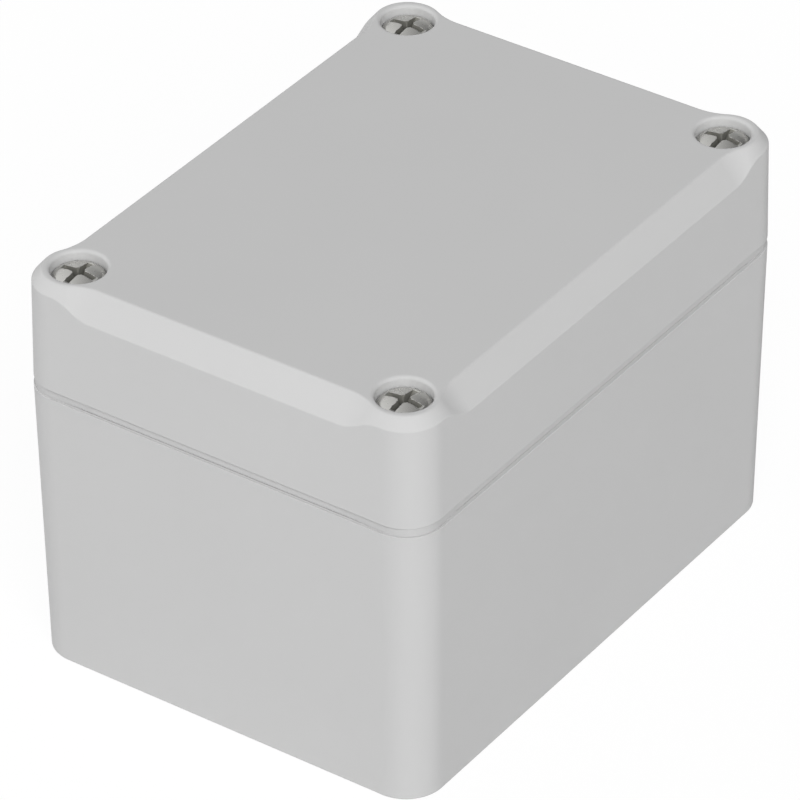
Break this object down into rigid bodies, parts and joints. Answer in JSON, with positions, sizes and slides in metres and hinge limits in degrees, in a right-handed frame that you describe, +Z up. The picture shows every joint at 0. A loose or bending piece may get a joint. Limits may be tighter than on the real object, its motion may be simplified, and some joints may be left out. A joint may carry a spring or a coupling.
{
  "type": "plastic enclosure",
  "caption": "Small light-grey moulded electronics enclosure: drafted base, chamfered lid on a gasket, captive steel corner screws and brass threaded inserts.",
  "frame": {"origin": "centre of the underside, on the surface that the enclosure stands on", "axes": "+Z up through the lid, +X along the length, +Y across the width towards the rear"},
  "size_m": [0.065, 0.0476, 0.045],
  "materials": {
    "housing_plastic": "fine satin moulded light grey",
    "seal_rubber": "matt black elastomer",
    "screw_steel": "turned bright stainless steel",
    "insert_brass": "turned brass"
  },
  "bodies": {
    "base": {"base": "housing_plastic", "insert_front_left": "insert_brass", "insert_front_right": "insert_brass", "insert_rear_left": "insert_brass", "insert_rear_right": "insert_brass"},
    "lid": {"lid": "housing_plastic", "gasket": "seal_rubber"},
    "screw_front_left": {"lid_screw_front_left": "screw_steel"},
    "screw_front_right": {"lid_screw_front_right": "screw_steel"},
    "screw_rear_left": {"lid_screw_rear_left": "screw_steel"},
    "screw_rear_right": {"lid_screw_rear_right": "screw_steel"}
  },
  "joints": [
    {"name": "lid_lift", "type": "slide", "parent": "base", "child": "lid", "axis": [0, 0, 1], "range_m": [0, 0.06]},
    {"name": "screw_turn_front_left", "type": "hinge", "parent": "lid", "child": "screw_front_left", "pos_m": [-0.02785, -0.01915, 0.0423], "axis": [0, 0, 1], "continuous": true},
    {"name": "screw_turn_front_right", "type": "hinge", "parent": "lid", "child": "screw_front_right", "pos_m": [0.02785, -0.01915, 0.0423], "axis": [0, 0, 1], "continuous": true},
    {"name": "screw_turn_rear_left", "type": "hinge", "parent": "lid", "child": "screw_rear_left", "pos_m": [-0.02785, 0.01915, 0.0423], "axis": [0, 0, 1], "continuous": true},
    {"name": "screw_turn_rear_right", "type": "hinge", "parent": "lid", "child": "screw_rear_right", "pos_m": [0.02785, 0.01915, 0.0423], "axis": [0, 0, 1], "continuous": true}
  ]
}
